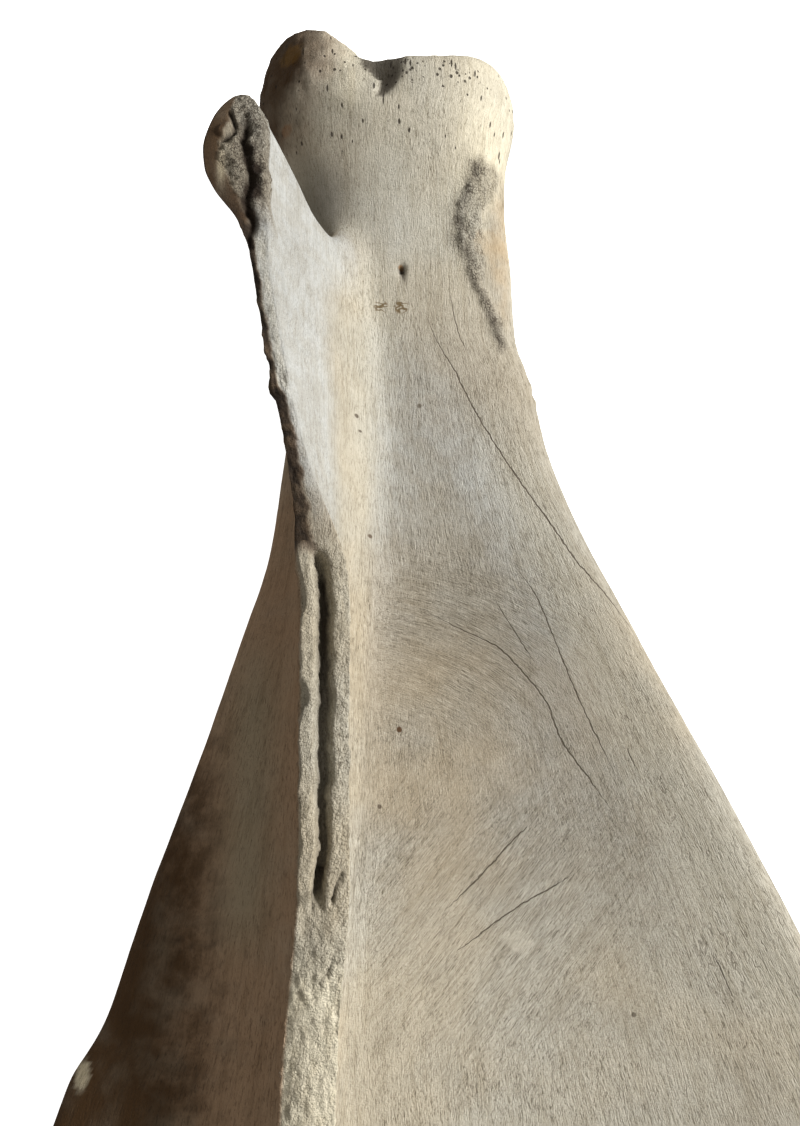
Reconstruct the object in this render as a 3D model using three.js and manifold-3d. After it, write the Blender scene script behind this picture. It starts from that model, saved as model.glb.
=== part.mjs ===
// A cow's right shoulder blade (scapula), life size, lying on its inner face on a table.
//
// Frame, in millimetres: +Y runs down the bone to the shoulder socket, +X to the rear edge of the
// blade and +Z up through the ridge (spine) on the outer face. Sizes are given by station: the
// distance s up the bone from the outer rim of the socket, so that y falls as s grows. The first
// x is measured from the long axis through the neck, and the frame's origin is then put at the
// middle of the bone's outline, on the table.
//
// The bone is two lofted bodies joined into one solid: the blade with its neck and head, and the
// spine with its acromion, the hooked end that overhangs the neck.
import * as THREE from "three";
import { ParametricGeometry } from "three/addons/geometries/ParametricGeometry.js";
import { mergeVertices } from "three/addons/utils/BufferGeometryUtils.js";
import Module from "manifold-3d";

// Overall sizes
const BLADE_LENGTH = 345; // socket rim to the middle of the top border
const TUBERCLE_REACH = 15; // how far the tubercle stands past the socket rim
// Edges of the blade: [station, x]
const FRONT_EDGE = [
  [0, -36.5], [9, -38.2], [18, -35.5], [32, -29], [48, -25], [62, -24.2], [80, -26.2], [97, -28.2],
  [123, -31.2], [147, -38], [176, -47], [208, -57.4], [230, -63.6], [243, -70], [258, -74],
  [285, -79.5], [315, -83.5], [345, -84],
];
const REAR_EDGE = [
  [0, 29.8], [6, 30.8], [18, 28.5], [30, 27.8], [48, 28.9], [68, 29.4], [80, 32.6], [97, 35.8],
  [116, 42], [135, 50.2], [165, 64.4], [206, 83.6], [240, 98.6], [275, 111.5], [310, 119], [345, 122],
];

// Thickness and height of the blade on its middle line: [station, mm]
const MID_HEIGHT = [
  [0, 24], [8, 23], [20, 21.5], [35, 20.2], [50, 19.6], [80, 19], [110, 18], [150, 16.8],
  [200, 15], [250, 11.4], [300, 7.2], [345, 3.6],
];
const HALF_THICKNESS = [
  [0, 21.6], [6, 23], [14, 22.4], [24, 18.6], [36, 13.6], [50, 10.6], [80, 7.6], [110, 5.2],
  [150, 2.9], [200, 1.7], [270, 1.5], [315, 2.3], [345, 4.2],
];
// How square the section is: 2 is an ellipse, and a large number a plate with rounded edges
const SQUARENESS = [
  [0, 3.2], [20, 2.8], [40, 2.4], [70, 2.8], [110, 4.5], [160, 8], [220, 12], [345, 14],
];

const REAR_BORDER = { swell: 2.6, width: 11, from: 60, full: 130 }; // thick rear edge
const FRONT_BORDER = { swell: 0.5, width: 7, from: 90, full: 170 };
const SPINE_FOOT = { swell: 1.3, width: 16, from: 60, full: 120 }; // thicker under the spine
const INNER_HOLLOW = { rise: 3.2, width: 34, from: 90, full: 200 }; // hollow of the rib face
const OUTER_HOLLOW = { depth: 2.4, from: 110, full: 200 }; // hollow behind the spine

// Top border: its ends fall back towards the neck, and its corners are rounded
const BORDER = { middle: 5, frontFall: 26, rearFall: 42, from: 215, corner: 20, bulge: 1.4 };
// The border is arched, so that the bone rests on its two ends and on the head
const BORDER_ARCH = 2.4;
const BEND_POWER = 1.5; // how late the stations start to bend towards the border
// In front of the spine the blade slopes down to its front edge: [station, drop at the edge]
const FRONT_FALL = [[60, 0], [100, 2.6], [140, 5.6], [185, 7.2], [230, 6.6], [290, 3.9], [345, 1.9]];
const FRONT_FALL_POWER = 1.4; // above 1, the slope steepens towards the edge

// Socket (glenoid cavity) and the knobs round it
const SOCKET = { x: 2.5, z: 23, halfLength: 25, halfWidth: 19.5, depth: 6.5 };
const SOCKET_RIM = { drawnIn: 0.05, round: 1.2 }; // the rim is drawn in by this share, and rounded
const TUBERCLE = { x: -23.3, z: 31, halfLength: 15, halfWidth: 15, root: 28 };
const REAR_LIP = { x: 23, width: 11, z: 34, height: 22, reach: 4.2, root: 24 };
const NOTCH = { x: -7, z: 46, front: 10, rear: 6, height: 10, drop: 4.5, forward: 2.6, root: 16 };
const CORACOID = { x: -34, z: 9, radius: 9, reach: 12, out: 3.5, forward: 5 };

// Spine: [station, mm], for its line on the blade, its free edge, and its thickness
const SPINE_TOP_END = 341;
const SPINE_LINE = [[40, -15], [100, -14], [150, -15.2], [240, -17], [341, -20]];
const CREST_LINE = [
  [36, -35], [45, -35.3], [52, -35.7], [57, -35.3], [62, -34.2], [70, -30.9], [79, -29.3], [99, -25.6],
  [118, -21.4], [137, -16.6], [150, -15], [200, -14.9], [235, -17.3], [290, -19], [341, -20],
];
const CREST_HEIGHT = [
  [36, 70], [50, 71.5], [65, 70], [79, 68], [99, 64.6], [118, 60.6], [137, 56.2], [148, 53.6],
  [187, 44.6], [224, 35.4], [260, 26.6], [290, 19.4], [320, 13.6], [341, 9.6],
];
const CREST_HALF_WIDTH = [
  [36, 3.4], [41, 4.6], [46, 5.9], [52, 6.6], [57, 6.5], [62, 5.4], [70, 3], [82, 2], [112, 1.9],
  [128, 3], [143, 5.1], [200, 5.2], [240, 5.3], [300, 6.5], [341, 7.5],
];
const WALL_HALF_WIDTH = [[36, 2.2], [70, 1.8], [140, 1.7], [260, 2.2], [341, 4]];
const FOOT = { flare: 6.5, fall: 4.6, start: 26, fullHeight: 25 }; // how the wall spreads into the blade
const CREST_ROUND = 0.22; // share of the wall's height over which it thickens to the crest
const CREST_CROWN = 0.16; // how much the crest is domed, as a share of its half width
const LEAN_POWER = 1.25; // above 1, the wall leans over more towards the crest

// The spine's lower edge runs from the neck out to the acromion: [share of height, station]
const LOWER_EDGE = [[0, 44.2], [0.1, 48.8], [0.35, 49.2], [0.6, 43.8], [0.85, 37.9], [1, 36.4]];
const LOWER_EDGE_ROUND = 7;
const SINK = 0.55; // share of the blade's thickness that the spine's root goes into

// A channel runs down the swollen part of the crest, steep in front and gentle behind. Its centre
// and widths are shares of the crest's half width. A strip of bone stands along its front side.
const CHANNEL = { from: 138, to: 209, ease: 3, centre: -0.08, steep: 0.17, gentle: 0.36, depth: 3.8 };
const CHANNEL_SHAPE = 2.4;
const STRIP = { from: 137, to: 206, front: -0.95, rear: -0.25, edge: 0.12, height: 1.4, tilt: 1.5 };

const BONE_COLOUR = 0xcfc5b0;

// A smooth curve through [position, value] knots: cubic between them, with no overshoot.
function through(knots) {
  const slope = knots.slice(1).map(([x, y], i) => (y - knots[i][1]) / (x - knots[i][0]));
  const tangent = knots.map((_, i) => {
    if (i === 0) return slope[0];
    if (i === slope.length) return slope[i - 1];
    const [a, b] = [slope[i - 1], slope[i]];
    return a * b <= 0 ? 0 : (2 * a * b) / (a + b);
  });
  return (at) => {
    const x = Math.min(Math.max(at, knots[0][0]), knots[knots.length - 1][0]);
    let i = 0;
    while (i < slope.length - 1 && x > knots[i + 1][0]) i += 1;
    const span = knots[i + 1][0] - knots[i][0];
    const t = (x - knots[i][0]) / span;
    const u = 1 - t;
    return (
      knots[i][1] * u * u * (1 + 2 * t) +
      knots[i + 1][1] * t * t * (3 - 2 * t) +
      span * t * u * (tangent[i] * u - tangent[i + 1] * t)
    );
  };
}

const ease = THREE.MathUtils.smoothstep;
const bell = (distance, width) => Math.exp(-((distance / width) ** 2));

const frontEdge = through(FRONT_EDGE);
const rearEdge = through(REAR_EDGE);
const midHeight = through(MID_HEIGHT);
const halfThickness = through(HALF_THICKNESS);
const squareness = through(SQUARENESS);
const frontFall = through(FRONT_FALL);
const spineLine = through(SPINE_LINE);
const crestLine = through(CREST_LINE);
const crestHeight = through(CREST_HEIGHT);
const crestHalfWidth = through(CREST_HALF_WIDTH);
const wallHalfWidth = through(WALL_HALF_WIDTH);
const lowerEdge = through(LOWER_EDGE);

// How much the outline is drawn in at station s, to round the two corners of the top border.
function cornerInset(s) {
  const q = Math.max(0, (s - BLADE_LENGTH + BORDER.corner) / BORDER.corner);
  return BORDER.corner * (1 - Math.sqrt(Math.max(0, 1 - q * q)));
}

// The blade's section at station s, at share xi across it: -1 is the front edge, 1 the rear edge.
function section(s, xi) {
  const front = frontEdge(s) + cornerInset(s);
  const rear = rearEdge(s) - cornerInset(s);
  const x = (front + rear) / 2 + (xi * (rear - front)) / 2;
  const fromSpine = x - spineLine(s);

  const hollow = INNER_HOLLOW.rise * ease(s, INNER_HOLLOW.from, INNER_HOLLOW.full);
  const backward = THREE.MathUtils.clamp(fromSpine / (rearEdge(s) - spineLine(s)), 0, 1);
  const forward = THREE.MathUtils.clamp(fromSpine / (frontEdge(s) - spineLine(s)), 0, 1);
  const dish = OUTER_HOLLOW.depth * ease(s, OUTER_HOLLOW.from, OUTER_HOLLOW.full);
  const middle =
    midHeight(s) +
    BORDER_ARCH * ease(s, BORDER.from, BLADE_LENGTH) * (1 - xi * xi) +
    hollow * bell(fromSpine, INNER_HOLLOW.width) -
    dish * Math.sin(Math.PI * backward) ** 2 -
    frontFall(s) * forward ** FRONT_FALL_POWER;

  const rearSwell = REAR_BORDER.swell * ease(s, REAR_BORDER.from, REAR_BORDER.full);
  const frontSwell = FRONT_BORDER.swell * ease(s, FRONT_BORDER.from, FRONT_BORDER.full);
  const footSwell = SPINE_FOOT.swell * ease(s, SPINE_FOOT.from, SPINE_FOOT.full);
  const half =
    halfThickness(s) +
    rearSwell * bell(rear - x, REAR_BORDER.width) +
    frontSwell * bell(x - front, FRONT_BORDER.width) +
    footSwell * bell(fromSpine, SPINE_FOOT.width);
  const close = Math.sqrt(Math.max(0, 1 - Math.abs(xi) ** squareness(s)));
  return { x, middle, half: half * close };
}

// Height of the blade's outer face at station s, above x.
function outerFace(s, x) {
  const [front, rear] = [frontEdge(s), rearEdge(s)];
  const { middle, half } = section(s, (2 * x - front - rear) / (rear - front));
  return { top: middle + half, thick: 2 * half };
}

// The stations bend towards the top border, so that they follow its curve.
function bend(s, x) {
  const reach = Math.max(0, (s - BORDER.from) / (BLADE_LENGTH - BORDER.from)) ** BEND_POWER;
  const across = x - BORDER.middle;
  const side = across > 0 ? rearEdge(s) - BORDER.middle : BORDER.middle - frontEdge(s);
  const fall = across > 0 ? BORDER.rearFall : BORDER.frontFall;
  return s - reach * fall * (across / side) ** 2;
}

// Puts a point given by station, x and height in the frame, resting on the table.
function place(target, s, x, z) {
  target.set(x, -s, Math.max(z, 0));
}

// The knobs and hollows of the head, as moves of a point of the lofted shape.
function shapeHead(s, x, z, face) {
  const fade = (form) => 1 - ease(s, 0, form.root);
  const spread = (form, width, height) => bell(x - form.x, width) * bell(z - form.z, height);
  const radius = (form) => Math.hypot((x - form.x) / form.halfLength, (z - form.z) / form.halfWidth);
  const tubercle = TUBERCLE_REACH * Math.exp(-(radius(TUBERCLE) ** 4)) * fade(TUBERCLE);
  const lip = REAR_LIP.reach * spread(REAR_LIP, REAR_LIP.width, REAR_LIP.height) * fade(REAR_LIP);
  const notch = spread(NOTCH, x > NOTCH.x ? NOTCH.rear : NOTCH.front, NOTCH.height) * fade(NOTCH);
  const cup = face ? SOCKET.depth * Math.max(0, 1 - radius(SOCKET) ** 2) : 0;
  const beak = spread(CORACOID, CORACOID.radius, CORACOID.radius) * bell(s, CORACOID.reach);
  const along = s - tubercle - lip - NOTCH.forward * notch + cup - CORACOID.forward * beak;
  return [along, x - CORACOID.out * beak, z - NOTCH.drop * notch];
}

const BLADE_AROUND = 60;
// Rows from the top border's middle line, out to its edge, down the blade and over the socket face
const BORDER_ROWS = [0, 0.5, 0.85];
const BLADE_ROWS = [
  345, 344.4, 343, 340.5, 336.5, 331, 324, 315, 304, 292, 279, 265, 250, 235, 220, 206, 192, 178,
  164, 151, 139, 128, 118, 108, 99, 90, 81, 73, 65, 58, 51, 45, 39, 34, 29, 24.5, 20, 16, 12.5, 9,
  6, 3.5, 1.6, 0.4,
];
const FACE_ROWS = [0.93, 0.84, 0.72, 0.58, 0.42, 0.22, 0];

function bladePoint(u, v, target) {
  const rows = BORDER_ROWS.length + BLADE_ROWS.length + FACE_ROWS.length - 1;
  const i = Math.round(u * BLADE_AROUND) % BLADE_AROUND;
  const row = Math.round(v * rows);
  const mirrored = Math.min(i, BLADE_AROUND - i);
  const side = i <= BLADE_AROUND / 2 ? 1 : -1; // outer face, then back along the rib face
  const xi = -Math.cos((2 * Math.PI * mirrored) / BLADE_AROUND);

  if (row < BORDER_ROWS.length) {
    const share = BORDER_ROWS[row];
    const { x, middle, half } = section(BLADE_LENGTH, xi);
    const s = bend(BLADE_LENGTH, x) + BORDER.bulge * (1 - share * share);
    place(target, s, x, middle + side * half * share);
    return;
  }
  const station = row - BORDER_ROWS.length;
  if (station < BLADE_ROWS.length) {
    const s = BLADE_ROWS[station];
    const { x, middle, half } = section(s, xi);
    const rim = 1 - SOCKET_RIM.drawnIn * bell(s, SOCKET_RIM.round);
    const drawn = x * rim + SOCKET.x * (1 - rim);
    place(target, ...shapeHead(bend(s, x), drawn, middle + side * half * rim, false));
    return;
  }
  const share = FACE_ROWS[station - BLADE_ROWS.length] * (1 - SOCKET_RIM.drawnIn);
  const { x, middle, half } = section(0, xi);
  const inX = SOCKET.x + (x - SOCKET.x) * share;
  place(target, ...shapeHead(0, inX, middle + side * half * share, true));
}

const SPINE_ALONG = 54;
const ALONG_MIX = { even: 0.35, power: 1.8 }; // steps are closer together at the acromion
const SPINE_LEVELS = [0, 0.02, 0.06, 0.12, 0.2, 0.34, 0.52, 0.7, 0.82, 0.91, 0.97];
const CREST_ROWS = [1, 0.78, 0.46, 0.2, 0];
const ROOT_ROWS = [0, 1];

// Thickness and place of the spine at station s, at a share of its height above the blade.
function spineSection(s, share) {
  const foot = outerFace(s, spineLine(s));
  const height = Math.max(0, crestHeight(s) - foot.top);
  const rise = share * height;
  const past = s - lowerEdge(share);
  const footing = Math.min(1, height / FOOT.fullHeight) * ease(past, -FOOT.start / 4, FOOT.start);
  const flare = FOOT.flare * footing * Math.exp(-rise / FOOT.fall);
  const swell = ease(share, 1 - CREST_ROUND, 1) * (crestHalfWidth(s) - wallHalfWidth(s));
  const fromEnd = THREE.MathUtils.clamp(past / LOWER_EDGE_ROUND, 0, 1);
  return {
    x: spineLine(s) + (crestLine(s) - spineLine(s)) * share ** LEAN_POWER,
    z: foot.top + rise,
    root: foot.top - SINK * foot.thick,
    half: (wallHalfWidth(s) + flare + swell) * Math.sqrt(1 - (1 - fromEnd) ** 2),
  };
}

// 1 between two stations, with soft ends of the given length.
function between(s, from, to, soft) {
  return ease(s, from, from + soft) - ease(s, to - soft, to);
}

// Height of the crest's surface over its edge, at share across it: -1 is its front side.
function crestRelief(s, across) {
  const crown = CREST_CROWN * crestHalfWidth(s) * (1 - across * across);
  const offset = across - CHANNEL.centre;
  const width = offset < 0 ? CHANNEL.steep : CHANNEL.gentle;
  const hollow = Math.exp(-(Math.abs(offset / width) ** CHANNEL_SHAPE));
  const channel = CHANNEL.depth * hollow * between(s, CHANNEL.from, CHANNEL.to, CHANNEL.ease);
  const onStrip =
    ease(across, STRIP.front, STRIP.front + STRIP.edge) -
    ease(across, STRIP.rear, STRIP.rear + STRIP.edge);
  const strip = (STRIP.height - STRIP.tilt * across) * onStrip;
  return crown - channel + strip * between(s, STRIP.from, STRIP.to, CHANNEL.ease);
}

function spinePoint(u, v, target) {
  const rows = ROOT_ROWS.length + SPINE_LEVELS.length + CREST_ROWS.length - 1;
  const around = 2 * SPINE_ALONG;
  const i = Math.round(u * around) % around;
  const row = Math.round(v * rows);
  const step = Math.min(i, around - i) / SPINE_ALONG;
  const side = i <= SPINE_ALONG ? -1 : 1; // front wall, then the rear wall
  const q = ALONG_MIX.even * step + (1 - ALONG_MIX.even) * step ** ALONG_MIX.power;

  const level = row < ROOT_ROWS.length ? 0 : (SPINE_LEVELS[row - ROOT_ROWS.length] ?? 1);
  const s = lowerEdge(level) + (SPINE_TOP_END - lowerEdge(level)) * q;
  const at = spineSection(s, level);
  if (row < ROOT_ROWS.length) {
    place(target, s, at.x + side * at.half * ROOT_ROWS[row], at.root);
    return;
  }
  const cap = row - ROOT_ROWS.length - SPINE_LEVELS.length;
  if (cap < 0) {
    place(target, s, at.x + side * at.half, at.z);
    return;
  }
  const across = side * CREST_ROWS[cap];
  const spread = Math.min(1, at.half / crestHalfWidth(s));
  place(target, s, at.x + at.half * across, at.z + crestRelief(s, across) * spread);
}

// A solid from a closed surface over a grid of u and v.
function solidFrom(wasm, surface, slices, stacks) {
  const grid = new ParametricGeometry(surface, slices, stacks);
  grid.deleteAttribute("normal");
  grid.deleteAttribute("uv");
  const merged = mergeVertices(grid, 1e-4);
  const corners = merged.index.array;
  const kept = [];
  for (let i = 0; i < corners.length; i += 3) {
    const [a, b, c] = [corners[i], corners[i + 1], corners[i + 2]];
    if (a !== b && b !== c && c !== a) kept.push(a, b, c);
  }
  const mesh = new wasm.Mesh({
    numProp: 3,
    vertProperties: merged.getAttribute("position").array,
    triVerts: new Uint32Array(kept),
  });
  return new wasm.Manifold(mesh);
}

// The geometry of a solid's largest closed body.
function geometryOf(solid) {
  const [largest] = solid.decompose().sort((a, b) => b.volume() - a.volume());
  const { vertProperties, triVerts } = largest.getMesh();
  const geometry = new THREE.BufferGeometry();
  geometry.setAttribute("position", new THREE.BufferAttribute(vertProperties, 3));
  geometry.setIndex(new THREE.BufferAttribute(triVerts, 1));
  geometry.computeVertexNormals();
  return geometry;
}

const wasm = await Module();
wasm.setup();
const bladeRows = BORDER_ROWS.length + BLADE_ROWS.length + FACE_ROWS.length - 1;
const blade = solidFrom(wasm, bladePoint, BLADE_AROUND, bladeRows);
const spineRows = ROOT_ROWS.length + SPINE_LEVELS.length + CREST_ROWS.length - 1;
const spine = solidFrom(wasm, spinePoint, 2 * SPINE_ALONG, spineRows);

const bone = new THREE.MeshStandardMaterial({ color: BONE_COLOUR, roughness: 0.75, metalness: 0 });
const geometry = geometryOf(blade.add(spine));
geometry.computeBoundingBox();
const middle = geometry.boundingBox.getCenter(new THREE.Vector3());
geometry.translate(-middle.x, -middle.y, 0);
const scapula = new THREE.Mesh(geometry, bone);
scapula.name = "scapula";

const group = new THREE.Group();
group.add(scapula);
export default group;
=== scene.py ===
# %% [markdown]
# A cow's right shoulder blade, life size
#
# This lesson dresses one still bone. The real thing is a dry, weathered shoulder blade that lies on
# its rib face: a thin fan of bone, a neck, a head with a shallow socket, and a tall ridge (the
# spine) that ends in a hooked knob (the acromion). Everything is one piece, so everything here
# becomes one mesh. Two surfaces worked out with numpy carry the same named sizes as the solid, a
# Boolean joins them, and small-scale wear is then pushed into the vertices.

# %% The frame
from types import SimpleNamespace as Sizes

import bmesh
import bpy
import numpy as np
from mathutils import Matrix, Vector


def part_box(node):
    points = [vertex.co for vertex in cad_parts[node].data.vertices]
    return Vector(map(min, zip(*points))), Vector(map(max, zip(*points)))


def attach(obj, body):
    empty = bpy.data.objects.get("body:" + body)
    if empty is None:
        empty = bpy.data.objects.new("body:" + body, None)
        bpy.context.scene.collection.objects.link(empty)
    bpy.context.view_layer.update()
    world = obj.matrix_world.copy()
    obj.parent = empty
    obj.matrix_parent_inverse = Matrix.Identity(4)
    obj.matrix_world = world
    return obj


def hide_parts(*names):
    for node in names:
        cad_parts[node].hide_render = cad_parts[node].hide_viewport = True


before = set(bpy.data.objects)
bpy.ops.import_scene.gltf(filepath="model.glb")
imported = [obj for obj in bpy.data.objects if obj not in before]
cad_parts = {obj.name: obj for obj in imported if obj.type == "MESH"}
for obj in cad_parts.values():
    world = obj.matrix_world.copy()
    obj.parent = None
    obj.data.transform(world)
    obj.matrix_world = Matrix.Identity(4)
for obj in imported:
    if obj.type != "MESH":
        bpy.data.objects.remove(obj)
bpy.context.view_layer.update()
MM = 0.001
bone_low, bone_high = (np.array(corner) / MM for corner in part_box("scapula"))
print("bone solid, mm:", np.round(bone_low, 1), np.round(bone_high, 1))

# %% [markdown]
# Sizes
#
# A bone is measured by stations. The station s is the distance in millimetres from the outer rim of
# the socket up towards the top border, x is the distance from the long axis (plus is towards the
# rear edge) and z is the height above the table. Each table lists only the knots that its curve
# needs, and a smooth curve goes through them.

# %% Driving sizes of the blade
BLADE_LENGTH = 345
TUBERCLE_REACH = 15
FRONT_EDGE = [
    (0, -36.5), (9, -38.2), (18, -35.5), (32, -29), (48, -25), (62, -24.2), (80, -26.2), (97, -28.2),
    (123, -31.2), (147, -38), (176, -47), (208, -57.4), (230, -63.6), (243, -70), (258, -74),
    (285, -79.5), (315, -83.5), (345, -84),
]
REAR_EDGE = [
    (0, 29.8), (6, 30.8), (18, 28.5), (30, 27.8), (48, 28.9), (68, 29.4), (80, 32.6), (97, 35.8),
    (116, 42), (135, 50.2), (165, 64.4), (206, 83.6), (240, 98.6), (275, 111.5), (310, 119), (345, 122),
]
MID_HEIGHT = [
    (0, 24), (8, 23), (20, 21.5), (35, 20.2), (50, 19.6), (80, 19), (110, 18), (150, 16.8),
    (200, 15), (250, 11.4), (300, 7.2), (345, 3.6),
]
HALF_THICKNESS = [
    (0, 21.6), (6, 23), (14, 22.4), (24, 18.6), (36, 13.6), (50, 10.6), (80, 7.6), (110, 5.2),
    (150, 2.9), (200, 1.7), (270, 1.5), (315, 2.3), (345, 4.2),
]
SQUARENESS = [(0, 3.2), (20, 2.8), (40, 2.4), (70, 2.8), (110, 4.5), (160, 8), (220, 12), (345, 14)]
FRONT_FALL = [(60, 0), (100, 2.6), (140, 5.6), (185, 7.2), (230, 6.6), (290, 3.9), (345, 1.9)]
FRONT_FALL_POWER = 1.4
REAR_BORDER = Sizes(swell=2.6, width=11, start=60, full=130)
FRONT_BORDER = Sizes(swell=0.5, width=7, start=90, full=170)
SPINE_FOOT = Sizes(swell=1.3, width=16, start=60, full=120)
INNER_HOLLOW = Sizes(rise=3.2, width=34, start=90, full=200)
OUTER_HOLLOW = Sizes(depth=2.4, start=110, full=200)
BORDER = Sizes(middle=5, front_fall=26, rear_fall=42, start=215, corner=20, bulge=1.4, arch=2.4)
BEND_POWER = 1.5

# %% Driving sizes of the head and the spine
SOCKET = Sizes(x=2.5, z=23, half_length=25, half_width=19.5, depth=6.5)
SOCKET_RIM = Sizes(drawn_in=0.05, round=1.2)
TUBERCLE = Sizes(x=-23.3, z=31, half_length=15, half_width=15, root=28)
REAR_LIP = Sizes(x=23, width=11, z=34, height=22, reach=4.2, root=24)
NOTCH = Sizes(x=-7, z=46, front=10, rear=6, height=10, drop=4.5, forward=2.6, root=16)
CORACOID = Sizes(x=-34, z=9, radius=9, reach=12, out=3.5, forward=5)

SPINE_TOP_END = 341
SPINE_LINE = [(40, -15), (100, -14), (150, -15.2), (240, -17), (341, -20)]
CREST_LINE = [
    (36, -35), (45, -35.3), (52, -35.7), (57, -35.3), (62, -34.2), (70, -30.9), (79, -29.3), (99, -25.6),
    (118, -21.4), (137, -16.6), (150, -15), (200, -14.9), (235, -17.3), (290, -19), (341, -20),
]
CREST_HEIGHT = [
    (36, 70), (50, 71.5), (65, 70), (79, 68), (99, 64.6), (118, 60.6), (137, 56.2), (148, 53.6),
    (187, 44.6), (224, 35.4), (260, 26.6), (290, 19.4), (320, 13.6), (341, 9.6),
]
CREST_HALF_WIDTH = [
    (36, 3.4), (41, 4.6), (46, 5.9), (52, 6.6), (57, 6.5), (62, 5.4), (70, 3), (82, 2), (112, 1.9),
    (128, 3), (143, 5.1), (200, 5.2), (240, 5.3), (300, 6.5), (341, 7.5),
]
WALL_HALF_WIDTH = [(36, 2.2), (70, 1.8), (140, 1.7), (260, 2.2), (341, 4)]
LOWER_EDGE = [(0, 44.2), (0.1, 48.8), (0.35, 49.2), (0.6, 43.8), (0.85, 37.9), (1, 36.4)]
LOWER_EDGE_ROUND = 7
LOWER_FOOT = Sizes(x=-12, s=47, radius=9)
FOOT = Sizes(flare=6.5, fall=4.6, start=26, full_height=25)
CREST_ROUND = 0.22
CREST_CROWN = 0.16
LEAN_POWER = 1.25
SINK = 0.55
CHANNEL = Sizes(start=138, end=209, ease=3, centre=-0.08, steep=0.17, gentle=0.33, depth=3.8)
CHANNEL_SHAPE = 2.4
LIP_STRIP = Sizes(front=-0.95, rear=-0.25, height=1.4, tilt=1.5, notch_at=167.7, start=137, end=206)
LIP_EDGE = 0.12

# %% [markdown]
# Curves and noise as whole arrays
#
# A few helpers do the arithmetic. A curve goes through its knots with a slope at each knot that never
# overshoots. ease and fall are soft steps, and a bell is a smooth bump. The noise is a lattice
# noise: a hash gives each corner of a unit cube a random height, and a smooth blend of the eight
# corners gives the height in between.

# %% Curves, steps and bells
def unit(x):
    """x, cut off at 0 and 1."""
    return np.clip(x, 0, 1)


def through(knots):
    """A smooth curve through (position, value) knots: a cubic piece between each pair, whose slopes
    are the harmonic means of the neighbouring chords."""
    x, y = np.array(knots, float).T
    chord = np.diff(y) / np.diff(x)
    before, after = chord[:-1], chord[1:]
    same_way = before * after > 0
    total = np.where(same_way, before + after, 1)
    slope = np.concatenate([chord[:1], np.where(same_way, 2 * before * after / total, 0), chord[-1:]])

    def curve(at):
        at = np.clip(np.asarray(at, float), x[0], x[-1])
        i = np.clip(np.searchsorted(x, at, side="left") - 1, 0, len(x) - 2)
        span = x[i + 1] - x[i]
        t = (at - x[i]) / span
        u = 1 - t
        ends = y[i] * u * u * (1 + 2 * t) + y[i + 1] * t * t * (3 - 2 * t)
        return ends + span * t * u * (slope[i] * u - slope[i + 1] * t)

    return curve


def ease(x, low, high):
    """0 below low, 1 above high, and a smooth S between."""
    t = unit((np.asarray(x, float) - low) / (high - low))
    return t * t * (3 - 2 * t)


def fall(x, low, high):
    """1 below low, 0 above high, and a smooth S between."""
    return 1 - ease(x, low, high)


def bell(distance, width):
    """1 at distance 0, falling off both ways as exp(-(distance / width) ** 2)."""
    return np.exp(-((distance / width) ** 2))

# %% Lattice noise
def lattice_noise(points, size, seed):
    """Noise from -1 to 1 whose bumps are about size across, at points of shape (n, 3)."""
    p = np.asarray(points, float) / size + 1000.0
    cell = np.floor(p).astype(np.int64)
    f = p - cell
    f = f * f * f * (f * (f * 6 - 15) + 10)
    total = np.zeros(len(p))
    for corner in range(8):
        step = np.array([corner & 1, corner >> 1 & 1, corner >> 2 & 1])
        key = (cell + step) * np.array([374761393, 668265263, 2147483647]) + seed * 974711
        mixed = key.sum(1) & 0xFFFFFFFF
        mixed = ((mixed ^ (mixed >> 13)) * 1274126177) & 0xFFFFFFFF
        value = ((mixed ^ (mixed >> 16)) & 0xFFFF) / 32767.5 - 1
        weight = np.prod(np.where(step, f, 1 - f), axis=1)
        total += value * weight
    return total


def rough_noise(points, size, seed, octaves=3):
    """Lattice noise with finer and fainter copies of itself added."""
    layers = [lattice_noise(points, size / 2**k, seed + k) / 2**k for k in range(octaves)]
    return np.sum(layers, axis=0)

# %% The curves of this bone
front_edge, rear_edge = through(FRONT_EDGE), through(REAR_EDGE)
mid_height, half_thickness = through(MID_HEIGHT), through(HALF_THICKNESS)
squareness, front_fall = through(SQUARENESS), through(FRONT_FALL)
spine_line, crest_line = through(SPINE_LINE), through(CREST_LINE)
crest_height, crest_half_width = through(CREST_HEIGHT), through(CREST_HALF_WIDTH)
wall_half_width, lower_edge = through(WALL_HALF_WIDTH), through(LOWER_EDGE)
print("neck width at 62 mm:", round(float(rear_edge(62) - front_edge(62)), 1), "mm")

# %% [markdown]
# The blade, the neck and the head as one lofted surface
#
# One way to model a blade bone is to sculpt it, and another is to loft it from cross-sections. A loft
# keeps the measured outline exact, so that way is used. Each section is a rounded plate: an ellipse
# at the neck and head, and nearly a flat strip with round edges in the blade. The end of the loft is
# then pushed out for the tubercle and pushed in for the socket.

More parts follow.
